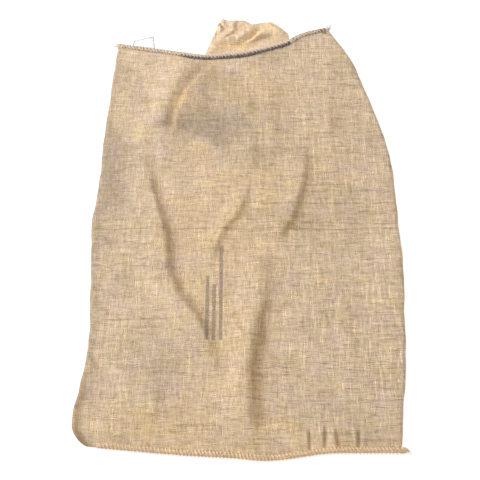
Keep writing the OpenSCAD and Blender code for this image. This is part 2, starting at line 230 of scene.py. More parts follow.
def fold_shade(x, y):
    """How much painted shade, brown, lies along the folds at each point, from 0 to 1, reaching further on
    each fold's right, away from the light.
    """
    # worn holds the painted shade of the folds
    worn = np.zeros(np.shape(x))
    uneven = 1 + 0.5 * noise_at(x, y, 0.03, 61.0)
    for humps, distance, fade in along_folds(FOLDS, x, y, 0.25, 0.55):
        _, height, _, fall = humps[0]
        shade = 0.6 * hump(distance, 1, 0.7 * fall, 1.3 * fall) + 0.4 * hump(distance, 1, 4.5, 4.5)
        worn = np.maximum(worn, np.clip(height / 8, 0, 1) * fade * shade * uneven)
    return np.clip(worn, 0, 1)


def pleat_height(x, rise):
    """Short upright pleats where the bottom seam gathers the cloth. rise is the height above the seam."""
    total = np.zeros(np.shape(x))
    for i, (at, reach) in enumerate(PLEATS):
        d = x / MM - at - 4 * np.sin(i * 2.3) * rise / 0.05
        fade = smoothstep(0.003, 0.012, rise) * smoothstep((reach + 14) * MM, (reach - 14) * MM, rise)
        high = 2.8 + 1.0 * math.sin(i * 2.9)
        total += fade * MM * (high * hump(d, -7, 8, 8) - 1.8 * hump(d, 2, 4.5, 4.5))
    return total


def front_height(u, v, x, y):
    """Height of the front face above the ground."""
    from_side = np.minimum(x - x_left(v), x_right(v) - x)
    rise = y - y_bottom(u)
    to_mouth = y_mouth(u) - y
    # fuller along the sides, and most of all at the plump bottom left corner
    base = 9 * MM + 3 * MM * np.exp(-(from_side / 0.05) ** 2)
    base += 7 * MM * np.exp(-(((x + 0.31) / 0.09) ** 2 + ((y + 0.47) / 0.07) ** 2))
    base += noise_at(x, y, 0.16, 3.1) * 3.2 * MM + noise_at(x, y, 0.05, 7.7) * 0.9 * MM
    base += noise_at(x, y, 0.016, 5.2) * 0.22 * MM
    height = base + fold_height(x, y) + pleat_height(x, rise)
    seam = SEAM_HALF_H + 2 * MM
    height = mix(seam, height, smoothstep(0, 0.045, rise))
    return np.maximum(mix(hem_height(u), height, smoothstep(0, 0.05, to_mouth)), 4 * MM)


def hem_height(u):
    """Height of the front hem's middle along the mouth."""
    return (11.5 + 1.8 * np.sin(math.pi * np.clip(u, 0, 1)) + 0.8 * np.sin(11 * u)) * MM


def across_stations(width, spacing):
    """Shares of the width, close together round the side edges, and how far round each one is."""
    angle = np.linspace(0, math.pi / 2, 8)[:-1]
    near = EDGE_W * (1 - np.cos(angle))
    count = int((width - 2 * EDGE_W) / spacing)
    middle = np.linspace(EDGE_W, width - EDGE_W, count)
    round_share = np.concatenate([np.sin(angle), np.ones(count), np.sin(angle)[::-1]])
    return np.concatenate([near, middle, (width - near)[::-1]]) / width, round_share


def back_height(u, v, x, y):
    """Height of the back face, which lies on the ground."""
    lying = (1.0 + 1.1 * (1 + noise_at(x, y, 0.11, 21.0)) + 0.3 * noise_at(x, y, 0.03, 22.0)) * MM
    lying = mix(SEAM_HALF_H - 1.5 * MM, lying, smoothstep(0, 0.03, y - y_bottom(u)))
    return mix(3 * MM, lying, smoothstep(0, 0.03, y_mouth(u) - y))


def place(u, v):
    return mix(x_left(v), x_right(v), u), mix(y_bottom(u), y_mouth(u), v)


def face_grid(spacing):
    """u, v, x, y and the rounding share at each point of a face's grid, mouth rows last."""
    u_line, round_line = across_stations(2 * HALF_W, spacing)
    v_line = np.linspace(0.005, 0.995, int(SACK_L / spacing))
    u, v = np.meshgrid(u_line, v_line)
    return u, v, *place(u, v), np.broadcast_to(round_line, u.shape)


# ---- mesh helpers

def add_object(name, data):
    thing = bpy.data.objects.new(name, data)
    scene.collection.objects.link(thing)
    return thing


def mesh_object(name, points, faces, uvs, material, attributes=None):
    mesh = bpy.data.meshes.new(name)
    mesh.from_pydata([tuple(p) for p in points], [], [tuple(f) for f in faces])
    mesh.polygons.foreach_set("use_smooth", [True] * len(mesh.polygons))
    index = np.zeros(len(mesh.loops), int)
    mesh.loops.foreach_get("vertex_index", index)
    mesh.uv_layers.new(name="flat").data.foreach_set("uv", np.asarray(uvs, np.float32)[index].ravel())
    for key, values in (attributes or {}).items():
        values = np.ravel(values).astype(np.float32)
        mesh.attributes.new(key, "FLOAT", "POINT").data.foreach_set("value", values)
    mesh.update()
    mesh.materials.append(material)
    return add_object(name, mesh)


def grid_faces(rows, columns, closed=False):
    faces = []
    for r in range(rows - 1):
        for c in range(columns if closed else columns - 1):
            a, b = r * columns + c, r * columns + (c + 1) % columns
            faces.append((a, b, b + columns, a + columns))
    return faces


def tube_faces(rings, sides):
    """The faces of a closed tube: rings of points joined up, with a cap at each end."""
    caps = [tuple(range(sides))[::-1], tuple((rings - 1) * sides + k for k in range(sides))]
    return grid_faces(rings, sides, closed=True) + caps


def grid_object(name, x, y, z, material, attributes=None, uv=None, upward=True):
    """A sheet over a grid of points. Its flat coordinates are x and y unless uv gives others."""
    faces = grid_faces(*x.shape)
    if not upward:
        faces = [f[::-1] for f in faces]
    points = np.stack([x, y, z], -1).reshape(-1, 3)
    uvs = points[:, :2] if uv is None else np.stack(uv, -1).reshape(-1, 2)
    return mesh_object(name, points, faces, uvs, material, attributes)


def lengths(path):
    """How far along a path each of its points lies."""
    return np.concatenate([[0], np.cumsum(np.linalg.norm(np.diff(path, axis=0), axis=1))])


def across_path(path):
    """The level direction to the left of a path at each of its points."""
    along = np.gradient(path, axis=0)
    across = np.stack([-along[:, 1], along[:, 0], 0 * along[:, 0]], 1)
    return across / np.linalg.norm(across, axis=1)[:, None]


def tube_rings(path, radius, sides):
    """Rings of points round a path, carried along it without twisting."""
    radius = np.broadcast_to(radius, len(path))
    along = np.gradient(path, axis=0)
    along /= np.linalg.norm(along, axis=1)[:, None]
    side = np.cross(along[0], UP if abs(along[0][2]) < 0.9 else (1, 0, 0))
    turn = np.arange(sides) * 2 * math.pi / sides
    rings = []
    for p, t, r in zip(path, along, radius):
        side = side - t * (side @ t)
        side /= np.linalg.norm(side)
        up = np.cross(t, side)
        rings.append(p + r * (np.cos(turn)[:, None] * side + np.sin(turn)[:, None] * up))
    return np.array(rings)


def tubes_object(name, tubes, material, sides=6):
    """One mesh of many closed tubes, each a path and its radius. UVs run along each tube in metres,
    and round it from 0 to 1."""
    points, faces, uvs = [], [], []
    for path, radius in tubes:
        start = len(points)
        points.extend(tube_rings(path, radius, sides).reshape(-1, 3))
        uvs.extend((s, k / sides) for s in lengths(path) for k in range(sides))
        faces.extend(tuple(start + i for i in f) for f in tube_faces(len(path), sides))
    return mesh_object(name, points, faces, uvs, material)


def whipping_strands(path):
    """The two strands of the whipping yarn, twisted round a path."""
    path = resample(path, 1.5 * MM)
    ring = tube_rings(path, 1.0, 4) - path[:, None]
    strands = []
    for k in range(2):
        angle = 2 * math.pi * (lengths(path) / SEAM_LAY + k / 2)
        offset = np.cos(angle)[:, None] * ring[:, 0] + np.sin(angle)[:, None] * ring[:, 1]
        strands.append(path + SEAM_PLY_R * 0.6 * offset)
    return strands


def resample(path, spacing):
    length = lengths(path)
    at = np.linspace(0, length[-1], max(int(length[-1] / spacing), 3))
    return np.stack([np.interp(at, length, path[:, k]) for k in range(3)], 1)


# ---- materials

class Nodes:
    """Short calls that add nodes to one material."""

    def __init__(self, name):
        self.material = bpy.data.materials.new(name)
        self.material.use_nodes = True
        self.tree = self.material.node_tree
        self.tree.nodes.clear()
        self.shader = self.add("BsdfPrincipled")
        self.put(self.shader.outputs[0], self.add("OutputMaterial").inputs["Surface"])

    def add(self, kind, **settings):
        node = self.tree.nodes.new("ShaderNode" + kind)
        for key, value in settings.items():
            setattr(node, key, value)
        return node

    def put(self, value, socket):
        if isinstance(value, bpy.types.NodeSocket):
            self.tree.links.new(value, socket)
        else:
            socket.default_value = value

    def feed(self, node, *values):
        """Give a node its first inputs, and return its first output."""
        for value, socket in zip(values, node.inputs):
            self.put(value, socket)
        return node.outputs[0]

    def fill(self, node, inputs):
        """Give a node inputs by name."""
        for key, value in inputs.items():
            self.put(value, node.inputs[key])

    def surface(self, inputs):
        self.fill(self.shader, inputs)

    def math(self, operation, *values, clamp=False):
        return self.feed(self.add("Math", operation=operation, use_clamp=clamp), *values)

    def plus(self, a, b):
        return self.math("ADD", a, b)

    def minus(self, a, b):
        return self.math("SUBTRACT", a, b)

    def times(self, a, b):
        return self.math("MULTIPLY", a, b)

    def vector(self, x, y, z=0.0):
        return self.feed(self.add("CombineXYZ"), x, y, z)

    def flat(self):
        """The cloth's own flat coordinates in metres, as x and y."""
        split = self.add("SeparateXYZ")
        self.feed(split, self.add("UVMap", uv_map="flat").outputs[0])
        return split.outputs[0], split.outputs[1]

    def noise(self, vector, scale, detail=2.0, rough=0.5):
        node = self.add("TexNoise")
        self.fill(node, {"Vector": vector, "Scale": scale, "Detail": detail, "Roughness": rough})
        return node.outputs["Fac"]

    def streaks(self, x, x_scale, y, y_scale, z, detail=3.0, rough=0.6):
        """Noise drawn out along one axis. z picks a pattern."""
        return self.noise(self.vector(self.times(x, x_scale), self.times(y, y_scale), z), 1, detail, rough)

    def remap(self, value, low, high, to_low=0.0, to_high=1.0):
        return self.feed(self.add("MapRange"), value, low, high, to_low, to_high)

    def mix(self, share, a, b, blend="MIX"):
        node = self.add("Mix", data_type="RGBA", blend_type=blend)
        for value, i in ((share, 0), (a, 6), (b, 7)):   # the places of the colour sockets
            self.put(value, node.inputs[i])
        return node.outputs[2]

    def tinted(self, share, colour, tint):
        return self.mix(share, colour, self.mix(1.0, colour, tint, "MULTIPLY"))

    def in_space(self):
        return self.add("TexCoord").outputs["Object"]

    def attribute(self, name):
        return self.add("Attribute", attribute_name=name).outputs["Fac"]

    def bump(self, height, distance, strength):
        node = self.add("Bump")
        self.fill(node, {"Height": height, "Distance": distance, "Strength": strength})
        self.surface({"Normal": node.outputs[0]})


def rgb(*shown):
    """A colour given as shown on a screen, 0 to 255."""
    shares = [c / 255 for c in shown]
    return (*(c / 12.92 if c <= 0.04045 else ((c + 0.055) / 1.055) ** 2.4 for c in shares), 1.0)


# How a fully stained, soiled or creased place tints the cloth. The crease tint is painted shade, brown,
# along folds and slopes away from the light; soil also holds painted shade along the front's left edge.
# A piece without one of these attributes counts as clean
TINTS = {"warm": (1.03, 0.985, 0.85, 1), "soil": (0.70, 0.71, 0.73, 1), "crease": (0.68, 0.55, 0.38, 1)}
WEFT_LINE_TINT = (0.76, 0.70, 0.60, 1)


def weave_material(name, light, mid, dark, streaky=1.0, printed=False):
    """Plain woven jute: slubby warp and weft yarns that pass over and under each other."""
    n = Nodes(name)
    x, y = n.flat()
    spot = n.vector(x, y)
    drift = n.noise(spot, 40, 1)
    warp = n.plus(n.math("DIVIDE", x, WARP_PITCH), n.times(drift, 1.6))
    weft = n.plus(n.math("DIVIDE", y, WEFT_PITCH), n.times(drift, 1.3))
    warp_id, weft_id = n.math("FLOOR", warp), n.math("FLOOR", weft)
    # each yarn's own shade, changing slowly along it, and which of the two yarns lies on top
    warp_shade = n.streaks(warp_id, 7.31, y, 45.0, 0.0, rough=0.65)
    weft_shade = n.streaks(x, 38.0, weft_id, 5.77, 4.0, rough=0.65)
    over = n.math("ABSOLUTE", n.math("MODULO", n.plus(warp_id, weft_id), 2.0))
    shade = n.plus(n.times(warp_shade, over), n.times(weft_shade, n.minus(1.0, over)))
    # the yarns' roundness: high along their middles, low in the gaps
    warp_round, weft_round = (
        n.math("COSINE", n.times(n.minus(n.math("FRACT", yarn), 0.5), math.pi)) for yarn in (warp, weft))
    height = n.times(n.math("POWER", warp_round, 0.6), n.math("POWER", weft_round, 0.6))
    fibres = n.noise(spot, 900, 3, 0.7)
    blotch = n.noise(spot, 9, 4, 0.6)
    # from dark yarn through the mid tone to light yarn, with painted shade darkening the gaps between yarns
    tone = n.plus(n.remap(shade, 0.30, 0.70), n.remap(fibres, 0.3, 0.7, -0.15, 0.15))
    ramp = n.add("ValToRGB")
    ramp.color_ramp.elements[0].color = dark
    ramp.color_ramp.elements[1].color = light
    ramp.color_ramp.elements.new(0.5).color = mid
    n.put(tone, ramp.inputs[0])
    # painted shade in the gaps, where the yarns' roundness is low
    gaps = n.remap(height, 0.0, 0.55, 0.62, 1.0)
    colour = n.mix(1.0, ramp.outputs[0], n.vector(gaps, gaps, gaps), "MULTIPLY")
    # groups of thicker and thinner yarns show as faint bands both ways
    weft_band = n.streaks(x, 9.0, y, 125.0, 7.0)
    warp_band = n.streaks(x, 115.0, y, 9.0, 9.0)
    wash = n.plus(n.remap(blotch, 0.3, 0.7, -0.05, 0.05), n.remap(weft_band, 0.3, 0.7, 0.90, 1.08))
    wash = n.plus(wash, n.remap(warp_band, 0.3, 0.7, -0.075, 0.075))
    # single yarns that are darker or lighter for a stretch
    slub = n.streaks(x, 20.0, weft_id, 3.37, 11.0, 2, 0.5)
    bright = n.streaks(warp_id, 4.13, y, 14.0, 13.0, 2, 0.5)
    wash = n.plus(wash, n.remap(slub, 0.56, 0.70, 0.0, -0.21 * streaky))
    wash = n.plus(wash, n.remap(bright, 0.56, 0.68, 0.0, 0.20 * streaky))
    if printed:     # the right half of the face shows its bands most
        wash = n.plus(n.times(n.minus(wash, 1.0), n.remap(x, -0.05, 0.20, 1.0, 1.35)), 1.0)
    hue = n.noise(n.vector(x, y, 3.0), 22, 3, 0.6)
    green = n.times(wash, n.remap(hue, 0.3, 0.7, 0.975, 0.99))
    blue = n.times(wash, n.remap(hue, 0.3, 0.7, 1.08, 0.89))
    colour = n.mix(1.0, colour, n.vector(wash, green, blue), "MULTIPLY")
    # tints from the attributes: crease is painted shade, and soil holds painted shade along the front's left
    # edge
    for stain_or_shade, tint in TINTS.items():
        colour = n.tinted(n.attribute(stain_or_shade), colour, tint)
    if printed:
        colour = n.tinted(weft_lines(n, x, y), colour, WEFT_LINE_TINT)
        ink = n.math("MULTIPLY", printed_stripes(n, x, y), n.remap(shade, 0.35, 0.6, 0.45, 0.9), clamp=True)
        colour = n.mix(ink, colour, rgb(96, 90, 84))
    n.surface({"Base Color": colour, "Roughness": n.remap(fibres, 0.2, 0.8, 0.82, 0.98),
               "Specular IOR Level": 0.2, "Sheen Weight": 0.15, "Sheen Roughness": 0.5})
    n.bump(n.plus(height, n.times(fibres, 0.6)), 0.0006, 0.9)
    return n.material


# Thin darker lines along the weft across the face: distance up the face, and where each starts and stops
WEFT_LINES = [(-0.033, -0.34, 0.35), (0.030, 0.04, 0.35), (-0.020, 0.10, 0.35), (-0.245, -0.31, -0.16)]
# Plain printed stripes: distance across the face, and where each starts and stops up it
STRIPE_W = 0.008
STRIPES = [(-0.080, -0.290, -0.145), (-0.065, -0.290, -0.165), (-0.050, -0.290, -0.075)]


def between(n, value, low, high):
    return n.times(n.math("GREATER_THAN", value, low), n.math("LESS_THAN", value, high))


def weft_lines(n, x, y):
    """Thin wavering dark lines along the weft, as a mask."""
    total = 0.0
    for i, (at, low, high) in enumerate(WEFT_LINES):
        sway = n.times(n.minus(n.noise(n.vector(x, 3.0 * i), 8, 2), 0.5), 0.016)
        off = n.math("ABSOLUTE", n.minus(n.plus(y, sway), at))
        line = n.times(n.remap(off, 0.0008, 0.0030, 1.0, 0.0), between(n, x, low, high))
        patchy = n.remap(n.noise(n.vector(x, 5.0 * i), 26, 2), 0.35, 0.6, 0.35, 1.0)
        total = n.math("MAXIMUM", total, n.times(line, patchy))
    return total


def printed_stripes(n, x, y):
    """Worn printed stripes, as a mask. They carry no lettering."""
    total = 0.0
    for at, low, high in STRIPES:
        wide = between(n, x, at - STRIPE_W / 2, at + STRIPE_W / 2)
        total = n.plus(total, n.times(wide, between(n, y, low, high)))
    return n.times(total, n.remap(n.noise(n.vector(x, y, 2.0), 320, 3, 0.7), 0.38, 0.60, 0.35, 1.0))


def thread_material(name, light, dark, lay=0.003, wear=0.3):
    """Twisted thread: slanted strands from the UVs, with painted shade in the grooves between them, and a
    fibrous surface.
    """
    n = Nodes(name)
    s, turn = n.flat()
    strand = n.math("SINE", n.times(n.plus(n.math("DIVIDE", s, lay), turn), 2 * math.pi))
    fibres = n.noise(n.in_space(), 700, 3, 0.7)
    patches = n.noise(n.in_space(), 60, 3, 0.6)
    # strands painted lighter along their middles and darker in the grooves between them, as shade
    tone = n.plus(n.remap(strand, -1.0, 1.0, 0.25, 0.75), n.remap(fibres, 0.3, 0.7, -0.25, 0.25))
    tone = n.math("ADD", tone, n.remap(patches, 0.3, 0.7, -wear, wear), clamp=True)
    n.surface({"Base Color": n.mix(tone, dark, light), "Roughness": n.remap(fibres, 0.2, 0.8, 0.75, 0.95),
               "Specular IOR Level": 0.25})
    n.bump(n.plus(strand, fibres), 0.0003, 0.8)
    return n.material


def film_material(name):
    """Thin clear plastic film, a little cloudy, with fine creases and a welded border."""
    n = Nodes(name)
    s, t = n.flat()
    haze = n.noise(n.in_space(), 90, 3, 0.6)
    # the border, in the film's own coordinates
    to_side = n.minus(0.5, n.math("ABSOLUTE", s))
    to_end = n.times(n.minus(1.0, n.math("ABSOLUTE", t)), 0.5)
    border = n.remap(n.math("MINIMUM", to_side, to_end), 0.03, 0.05, 1.0, 0.0)
    from_crease = n.math("ABSOLUTE", n.minus(n.noise(n.vector(s, t), 12, 2), 0.5))
    crease = n.remap(from_crease, 0.0, 0.06, 1.0, 0.0)
    line = n.math("MAXIMUM", border, n.times(crease, 0.6))
    n.surface({"Base Color": n.mix(line, rgb(228, 229, 235), rgb(140, 140, 156)),
               "Roughness": n.remap(haze, 0.3, 0.7, 0.12, 0.35),
               "Alpha": n.plus(n.remap(haze, 0.3, 0.7, 0.32, 0.55), n.times(line, 0.5))})
    n.bump(n.plus(haze, crease), 0.0008, 0.5)
    return n.material


def finish_cad_nodes(mats):
    """Procedural surfaces for the CAD nodes that stay: the lip's own hem and its thread."""
    for name, material in (("lip_hem", mats["clean"]), ("lip_overlock_loops", mats["light"])):
        for material_slot in frame["nodes"][name].material_slots:
            material_slot.material = material


def materials():
    worn = rgb(241, 222, 195), rgb(216, 191, 158), rgb(162, 138, 112)
    clean = rgb(252, 232, 200), rgb(236, 208, 170), rgb(196, 162, 122)
    return {
        "jute": weave_material("jute_weave", *worn, printed=True),
        "plain": weave_material("jute_weave_plain", *worn),
        "clean": weave_material("jute_weave_clean", *clean, streaky=0.3),
        "yarn": thread_material("jute_yarn", rgb(242, 216, 180), rgb(196, 162, 122), 0.005, 0.2),
        "light": thread_material("light_thread", rgb(255, 246, 234), rgb(214, 198, 184), 0.002, 0.2),
        "dark": thread_material("dark_thread", rgb(146, 131, 124), rgb(80, 70, 68), 0.002),
        "film": film_material("clear_film"),
    }


# ---- cloth pieces

# Greyer patches of the front face: strength, place, half width and half height in mm, and a seed
SOIL = [
    (0.8, -70, 230, 100, 60, 1), (0.65, 35, 155, 55, 40, 2), (0.6, -320, 110, 60, 140, 3),
    (0.3, -30, 260, 150, 110, 4), (0.25, 240, 20, 100, 70, 5), (0.3, -200, -330, 130, 60, 6),
    (0.35, -290, 60, 150, 250, 14), (0.15, -330, -200, 120, 160, 15), (0.3, 250, -440, 100, 50, 8),
    (0.45, 110, -20, 90, 60, 12), (0.3, -175, -340, 60, 90, 13),
]
YELLOWED = [
    (0.6, -150, -455, 190, 45, 9), (0.6, 20, 330, 150, 80, 10), (0.6, -40, -20, 190, 220, 11),
    (0.5, -20, -330, 110, 130, 17), (0.3, 180, 120, 160, 160, 18),
]
# A patch of painted shade in the valley below the mouth's dip: strength, place, half width and half height
# in mm, and a seed
VALLEY_SHADE = [(0.35, -100, 375, 35, 50, 16)]


def stains(x, y, places):
    """Soft-edged patches with uneven outlines, added up."""
    total = np.zeros(np.shape(x))
    for strength, at_x, at_y, wide, high, seed in places:
        wobble = 1 + 0.8 * noise_at(x, y, 0.07, seed, 4)
        d = np.hypot((x / MM - at_x) / wide, (y / MM - at_y) / high) * wobble
        total += strength * smoothstep(1.25, 0.25, d)
    return total


def patches_and_edge_shade(x, y, from_left):
    """How grey and how yellow the front face is at each point, from 0 to 1, with painted shade along the
    left edge added to the grey.
    """
    # painted shade along the left edge, where the cloth turns down, widest and strongest towards the bottom
    low = smoothstep(-0.30, -0.40, y)
    rim = smoothstep(mix(0.028, 0.042, low), 0.004, from_left) * (0.55 + 0.55 * low)
    soil = stains(x, y, SOIL) + rim
    warm = stains(x, y, YELLOWED) + 0.35 * smoothstep(-0.42, -0.50, y)
    return np.clip(soil, 0, 1), np.clip(warm, 0, 1)


def front_painted_shade(x, y, rise, from_left):
    """How much painted shade, brown, the front face gets at each point: along the folds, in the valley
    patch, on the pleats' sides away from the light and along the left edge.
    """
    pleats = pleat_height(x, rise)
    # the pleats' sides that fall to the right, away from the light, get painted shade
    fall = -np.gradient(pleats, axis=1) / np.gradient(x, axis=1)
    # painted shade along the left edge, where the cloth turns down, widest and strongest towards the bottom
    low = smoothstep(-0.34, -0.42, y)
    rim = smoothstep(mix(0.012, 0.026, low), 0.002, from_left) * (0.35 + 0.45 * low)
    parts = 0.7 * fold_shade(x, y), stains(x, y, VALLEY_SHADE), 0.7 * smoothstep(0.04, 0.40, fall), rim
    return np.maximum.reduce(parts)


def make_front_cloth(mats):
    u, v, x, y, round_share = face_grid(GRID)
    z = mix(SIDE_Z, front_height(u, v, x, y), round_share)
    from_left = x - x_left(v)
    # soil holds painted shade along the left edge besides the grey patches; crease is all painted shade
    soil, warm = patches_and_edge_shade(x, y, from_left)
    crease = front_painted_shade(x, y, y - y_bottom(u), from_left)
    piece = grid_object("front_cloth", x, y, z, mats["jute"],
                        {"soil": soil, "warm": warm, "crease": crease})
    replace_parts(piece, "front_panel_lower", "front_panel_upper", "left_fold_lower", "left_fold_upper")
    cloth_across_fold(piece)


def make_back_cloth(mats):
    u, v, x, y, round_share = face_grid(2 * GRID)
    z = mix(SIDE_Z, back_height(u, v, x, y), round_share)
    soil = np.clip(0.5 + 0.9 * noise_at(x, y, 0.2, 31.0), 0, 0.8)
    piece = grid_object("back_cloth", x, y, z, mats["plain"], {"soil": soil, "warm": 0 * soil + 0.2},
                        upward=False)
    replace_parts(piece, "back_panel_lower", "back_panel_upper", "right_edge_lower", "right_edge_upper")
    cloth_across_fold(piece)


def cloth_across_fold(piece):
    """Cloth that crosses the line where the mouth end folds over: its placement is baked into its mesh; it
    does not bend there.
    """
    bend_with_mouth_end(piece)


def bend_with_mouth_end(piece):
    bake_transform(piece)


def make_turn_ins(mats):
    """The cloth turned in at the bottom, lying inside along both faces."""
    u, v = np.meshgrid(np.linspace(0.03, 0.97, 120), np.linspace(0.006, 0.065, 14))
    x, y = place(u, v)
    layers = {"front": front_height(u, v, x, y) - 1.2 * MM, "back": back_height(u, v, x, y) + 1.2 * MM}
    for name, z in layers.items():
        piece = grid_object(name + "_turned_in_cloth", x, y, z, mats["plain"])
        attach(piece, "sack_body")
        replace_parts(piece, name + "_turn_in")


def inside_right(inset, v, height_share):
    """Points inside the sack, set in from the right edge, some way up between the two faces."""
    u = 1 - inset / (x_right(v) - x_left(v))
    x, y = place(u, v)
    return x, y, mix(back_height(u, v, x, y) + 0.8 * MM, front_height(u, v, x, y) - 0.8 * MM, height_share)


def make_allowance(mats):
    """The two cloth edges that the right side seam leaves inside, with the stitches that join them."""
    inset, v = np.meshgrid(np.linspace(EDGE_W, EDGE_W + ALLOWANCE_W, 5), np.linspace(0.06, 0.965, 150))
    # one layer out to the free edge, and the other back again
    x, y, z = (np.concatenate([lower, upper[:, ::-1]], 1)
               for lower, upper in zip(inside_right(inset, v, 0.15), inside_right(inset, v, 0.35)))
    piece = grid_object("seam_allowance", x, y, z, mats["plain"])
    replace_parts(piece, "right_allowance_lower", "right_allowance_upper")
    bend_with_mouth_end(piece)
    tubes = []
    for v_at in np.arange(0.065, 0.96, 0.012):
        v = np.linspace(v_at, v_at + 0.008, 5)
        x, y, z = inside_right(EDGE_W + ALLOWANCE_W / 2, v, 0.35)
        tubes.append((np.stack([x, y, z + np.array([-0.2, 0.5, 0.6, 0.5, -0.2]) * MM], 1), 0.5 * MM))
    stitches = tubes_object("side_seam_stitches", tubes, mats["light"])
    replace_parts(stitches, "side_stitches_lower", "side_stitches_upper")
    bend_with_mouth_end(stitches)


# ---- bottom seam

def band_object(name, path, half_w, half_h, material, sides=16):
    """A flattened roll of cloth along a path, half_w across and half_h high at each point."""
    turn = np.arange(sides) * 2 * math.pi / sides
    half_w, half_h = (np.broadcast_to(h, len(path)) for h in (half_w, half_h))
    rings = (path[:, None] + across_path(path)[:, None] * (half_w[:, None] * np.cos(turn))[..., None]
             + UP * (half_h[:, None] * np.sin(turn))[..., None])
    round_way = (half_w.mean() + half_h.mean()) * turn
    uv = np.stack(np.meshgrid(lengths(path), round_way, indexing="ij"), -1)
    return mesh_object(name, rings.reshape(-1, 3), tube_faces(len(path), sides), uv.reshape(-1, 2), material)


def seam_line(u):
    """The middle of the bottom seam roll."""
    u = np.asarray(u, float)
    x, y = place(u, 0 * u)
    reach = SEAM_PROUD + 1.6 * SEAM_PLY_R
    z = SEAM_HALF_H + reach + 0.5 * MM * (1 + np.sin(x / 0.012))
    return np.stack([x, y + SEAM_HALF_W + reach, z], -1)


def make_bottom_seam(mats):
    rng = np.random.default_rng(11)
    path = seam_line(np.linspace(0, 1, 260))
    lumps = 1 + 0.10 * noise_at(path[:, 0], path[:, 1], 0.012, 41.0)
    roll = band_object("bottom_seam_roll_cloth", path, SEAM_HALF_W * lumps, SEAM_HALF_H * lumps,
                       mats["clean"])
    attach(roll, "sack_body")
    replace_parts(roll, "bottom_seam_roll")

    # one yarn whipped round the roll, turn after turn
    turns = int(lengths(path)[-1] / SEAM_PITCH)
    t = np.linspace(0.004, 0.996, turns * 16)
    uneven = np.interp(t * turns, np.arange(turns + 1), rng.normal(0, 0.10, turns + 1))
    angle = 2 * math.pi * (t * turns + uneven)
    centre = seam_line(np.clip(t - 0.22 * np.cos(angle) / turns, 0, 1))
    loop = (centre + across_path(seam_line(t)) * ((SEAM_HALF_W + SEAM_PROUD) * np.cos(angle))[:, None]
            + UP * ((SEAM_HALF_H + SEAM_PROUD) * np.sin(angle))[:, None])
    # the yarn is pulled thin towards the left corner
    strands = [(strand, SEAM_PLY_R * mix(0.6, 1.0, smoothstep(-0.32, -0.05, strand[:, 0])))
               for strand in whipping_strands(loop)]
    yarn = tubes_object("bottom_whip_stitches", strands, mats["yarn"])
    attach(yarn, "sack_body")
    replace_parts(yarn, "bottom_overhand_stitches")
    make_seam_end(mats, seam_line(1.0), rng)


def make_seam_end(mats, start, rng):
    """The seam's end past the right corner: a blunt stub of rolled cloth, wrapped in fraying yarn."""
    stub_l, wraps, wrapped = 12 * MM, 3, 0.9
    reach = np.linspace(0, 1, 16)
    core = start + np.stack([reach * stub_l, 0 * reach, 0.3 * MM * np.sin(3 * reach)], 1)
    blunt = np.sqrt(np.clip(1 - reach**4, 0.03, 1))
    stub = band_object("seam_end_stub", core, STUB_HALF_W * blunt, SEAM_HALF_H * blunt, mats["clean"])
    t = np.linspace(0, 1, 30 * wraps)
    angle = 2 * math.pi * wraps * t
    size = np.interp(t * wrapped, reach, blunt)
    wrap = start + np.stack([t * wrapped * stub_l, size * (STUB_HALF_W + SEAM_PROUD) * np.cos(angle),
                             size * (SEAM_HALF_H + SEAM_PROUD) * np.sin(angle)], 1)
    tubes = [(strand, SEAM_PLY_R) for strand in whipping_strands(wrap)]
    s = np.linspace(0, 1, 7)[:, None]
    for _ in range(14):
        away = rng.normal(0, 1, 3) * (0.4, 0.9, 0.5) + (0.8, 0, 0)
        fray = core[-2] + s * away * 5 * MM + s**2 * rng.normal(0, 1, 3) * 3 * MM
        fray[:, 2] = np.maximum(fray[:, 2], LOWEST_Z)
        tubes.append((fray, 0.3 * MM))
    wrapping = tubes_object("seam_end_wrapping", tubes, mats["yarn"])
    for piece, slot_name in ((stub, "jute_cloth"), (wrapping, "jute_yarn")):
        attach(piece, "sack_body")
    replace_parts(wrapping, "bottom_seam_end")


# ---- mouth

def mouth_edge(u):
    return np.stack(place(u, np.ones_like(u)), -1)


def mouth_frame(u):
    """A point on the mouth's edge at height zero, the direction along it and the way into the sack."""
    u = np.asarray(u, float)
    step = 0.01
    along = mouth_edge(np.minimum(u + step, 1)) - mouth_edge(np.maximum(u - step, 0))
    along /= np.linalg.norm(along, axis=-1)[..., None]
    return mouth_edge(u), along, np.stack([along[..., 1], -along[..., 0]], -1)


def hem_point(u, slide, inward, z):
    """Points near the mouth: slid along it, set in from it, at height z."""
    edge, along, way_in = mouth_frame(u)
    flat = edge + along * np.asarray(slide)[..., None] + way_in * np.asarray(inward)[..., None]
    return np.concatenate([flat, np.broadcast_to(z, flat.shape[:-1])[..., None]], -1)


def back_hem_height(u):
    return BACK_HEM_Z + 0 * u


# One overlock stitch: share of the pitch slid along, distance in from the edge in mm, and
# height above the hem's middle in mm
LOOP = [(0.75, 9.0, 1.6), (0.62, 7.6, 3.0), (0.40, 4.5, 4.1), (0.15, 1.0, 3.2), (0.02, -0.9, 1.2),
        (0, -1.2, 0), (0.05, -0.6, -1.8), (0.22, 2.0, -3.2), (0.45, 6.0, -3.3), (0.60, 8.2, -2.4)]


